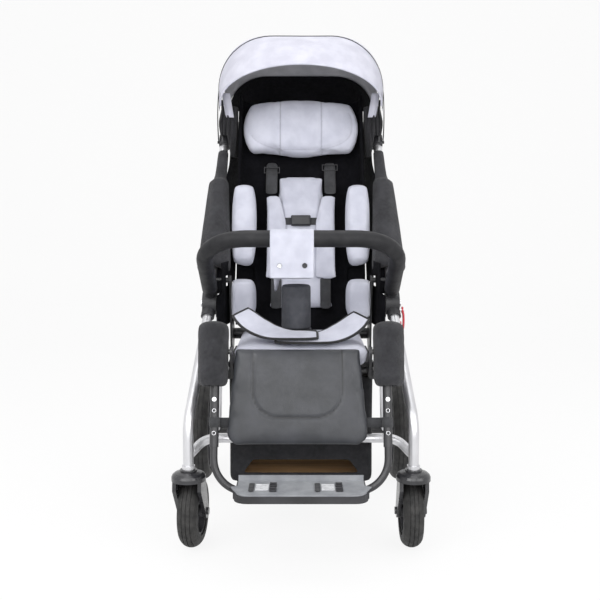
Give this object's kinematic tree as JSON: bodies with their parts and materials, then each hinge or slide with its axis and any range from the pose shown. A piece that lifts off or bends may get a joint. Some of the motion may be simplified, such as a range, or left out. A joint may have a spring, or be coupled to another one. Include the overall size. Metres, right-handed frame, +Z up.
{
  "type": "special_needs_buggy",
  "caption": "Folding special needs buggy with padded reclining seat, head cushion, harness, pommel, bumper bar, leg rest, flip footplate, canopy and swivel casters",
  "frame": {"origin": "floor level, middle of the overall width and length", "axes": "+X to the right seen from the front of the picture, +Y towards the rear and the push handle, +Z up"},
  "size_m": [0.648, 1.0271, 1.3034],
  "materials": {
    "silver": "satin anodised",
    "bolt_steel": "bright",
    "black_plastic": "fine grain",
    "black_paint": "satin",
    "base_board": "plain",
    "tan_board": "plain board",
    "light_fabric": "soft woven",
    "black_fabric": "woven",
    "leatherette": "grained leatherette",
    "pommel_foam": "matte foam",
    "foam": "closed cell foam",
    "grey_plastic": "moulded",
    "tread_plastic": "ribbed",
    "tyre": "treaded",
    "red_plastic": "glossy"
  },
  "bodies": {
    "chassis": {"side_tube_left": "silver", "side_tube_right": "silver", "upper_tube_left": "silver", "upper_tube_right": "silver", "frame_hinge_left": "black_plastic", "frame_hinge_right": "black_plastic", "front_cross_tube": "silver", "frame_bolts": "bolt_steel", "seat_frame": "black_paint", "seat_base": "base_board", "seat_cushion": "light_fabric", "pommel": "pommel_foam", "pommel_base": "black_plastic", "thigh_wings": "light_fabric", "hip_pads": "light_fabric", "arm_pads": "black_fabric", "basket": "black_fabric", "basket_board": "tan_board", "canopy_clamps": "black_plastic", "canopy_rear_panel": "light_fabric", "canopy_curtain": "black_fabric"},
    "rear_frame": {"rear_leg_left": "silver", "rear_leg_right": "silver", "rear_axle": "black_paint"},
    "brake": {"brake_pedal": "black_plastic"},
    "rear_wheel_left": {"rear_rim_left": "grey_plastic", "rear_tyre_left": "tyre"},
    "rear_wheel_right": {"rear_rim_right": "grey_plastic", "rear_tyre_right": "tyre"},
    "caster_left": {"caster_fork_left": "black_plastic"},
    "caster_right": {"caster_fork_right": "black_plastic"},
    "caster_wheel_left": {"caster_hub_left": "grey_plastic", "caster_tyre_left": "tyre"},
    "caster_wheel_right": {"caster_hub_right": "grey_plastic", "caster_tyre_right": "tyre"},
    "backrest": {"back_frame": "black_paint", "back_shell": "black_fabric", "back_pad": "light_fabric", "side_pads": "light_fabric", "harness_straps": "black_fabric", "shoulder_pads": "light_fabric", "chest_buckle": "black_plastic"},
    "headrest": {"headrest_plate": "black_plastic", "head_cushion": "light_fabric"},
    "legrest": {"hangers": "black_paint", "hanger_pads": "black_fabric", "calf_panel": "leatherette", "calf_straps": "black_fabric"},
    "snap_buttons": {"snap_buttons": "bolt_steel"},
    "footrest": {"footrest_tubes": "black_paint"},
    "footplate": {"footplate_base": "black_plastic", "footplate_tread": "tread_plastic", "foot_straps": "black_fabric"},
    "bumper": {"bumper_bar": "black_paint", "bumper_foam": "foam", "bumper_flap": "light_fabric"},
    "visor": {"canopy_visor": "light_fabric"},
    "handle": {"push_handle": "black_paint", "handle_grip": "foam"},
    "lever": {"lock_lever": "red_plastic"}
  },
  "joints": [
    {"name": "caster_swivel_left", "type": "hinge", "parent": "chassis", "child": "caster_left", "pos_m": [-0.268, -0.34395, 0.205], "axis": [0, 0, 1], "continuous": true},
    {"name": "caster_swivel_right", "type": "hinge", "parent": "chassis", "child": "caster_right", "pos_m": [0.268, -0.34395, 0.205], "axis": [0, 0, 1], "continuous": true},
    {"name": "caster_spin_left", "type": "hinge", "parent": "caster_left", "child": "caster_wheel_left", "pos_m": [-0.2633, -0.2992, 0.0875], "axis": [0.9945, -0.1045, 0], "continuous": true},
    {"name": "caster_spin_right", "type": "hinge", "parent": "caster_right", "child": "caster_wheel_right", "pos_m": [0.268, -0.29895, 0.0875], "axis": [1, 0, 0], "continuous": true},
    {"name": "fold", "type": "hinge", "parent": "chassis", "child": "rear_frame", "pos_m": [0, -0.10095, 0.576], "axis": [-1, 0, 0], "range_deg": [0, 34]},
    {"name": "rear_spin_left", "type": "hinge", "parent": "rear_frame", "child": "rear_wheel_left", "pos_m": [-0.298, 0.25605, 0.15], "axis": [1, 0, 0], "continuous": true},
    {"name": "rear_spin_right", "type": "hinge", "parent": "rear_frame", "child": "rear_wheel_right", "pos_m": [0.298, 0.25605, 0.15], "axis": [1, 0, 0], "continuous": true},
    {"name": "brake", "type": "hinge", "parent": "rear_frame", "child": "brake", "pos_m": [0, 0.29205, 0.178], "axis": [-1, 0, 0], "range_deg": [0, 20]},
    {"name": "recline", "type": "hinge", "parent": "chassis", "child": "backrest", "pos_m": [0, 0.03105, 0.478], "axis": [-1, 0, 0], "range_deg": [-15, 40]},
    {"name": "headrest_slide", "type": "slide", "parent": "backrest", "child": "headrest", "axis": [0, 0.342, 0.9397], "range_m": [0, 0.06]},
    {"name": "legrest", "type": "hinge", "parent": "chassis", "child": "legrest", "pos_m": [0, -0.33595, 0.486], "axis": [-1, 0, 0], "range_deg": [0, 60]},
    {"name": "footrest_slide", "type": "slide", "parent": "legrest", "child": "footrest", "axis": [0, -0.2588, -0.9659], "range_m": [0, 0.1]},
    {"name": "snap_buttons", "type": "slide", "parent": "legrest", "child": "snap_buttons", "axis": [0, 0.9659, -0.2588], "range_m": [0, 0.003], "stiffness_N_per_m": 800},
    {"name": "footplate", "type": "hinge", "parent": "footrest", "child": "footplate", "pos_m": [0, -0.41955, 0.17401], "axis": [1, 0, 0], "range_deg": [-85, 0]},
    {"name": "bumper", "type": "slide", "parent": "chassis", "child": "bumper", "axis": [0, -0.8351, 0.5501], "range_m": [0, 0.15]},
    {"name": "visor", "type": "hinge", "parent": "chassis", "child": "visor", "pos_m": [0, 0.19205, 1.01], "axis": [-1, 0, 0], "range_deg": [0, 50]},
    {"name": "handle", "type": "hinge", "parent": "chassis", "child": "handle", "pos_m": [0, 0.21605, 1.045], "axis": [1, 0, 0], "range_deg": [-60, 10]},
    {"name": "lever", "type": "hinge", "parent": "chassis", "child": "lever", "pos_m": [0.26, -0.11895, 0.56], "axis": [1, 0, 0], "range_deg": [0, 40]}
  ]
}
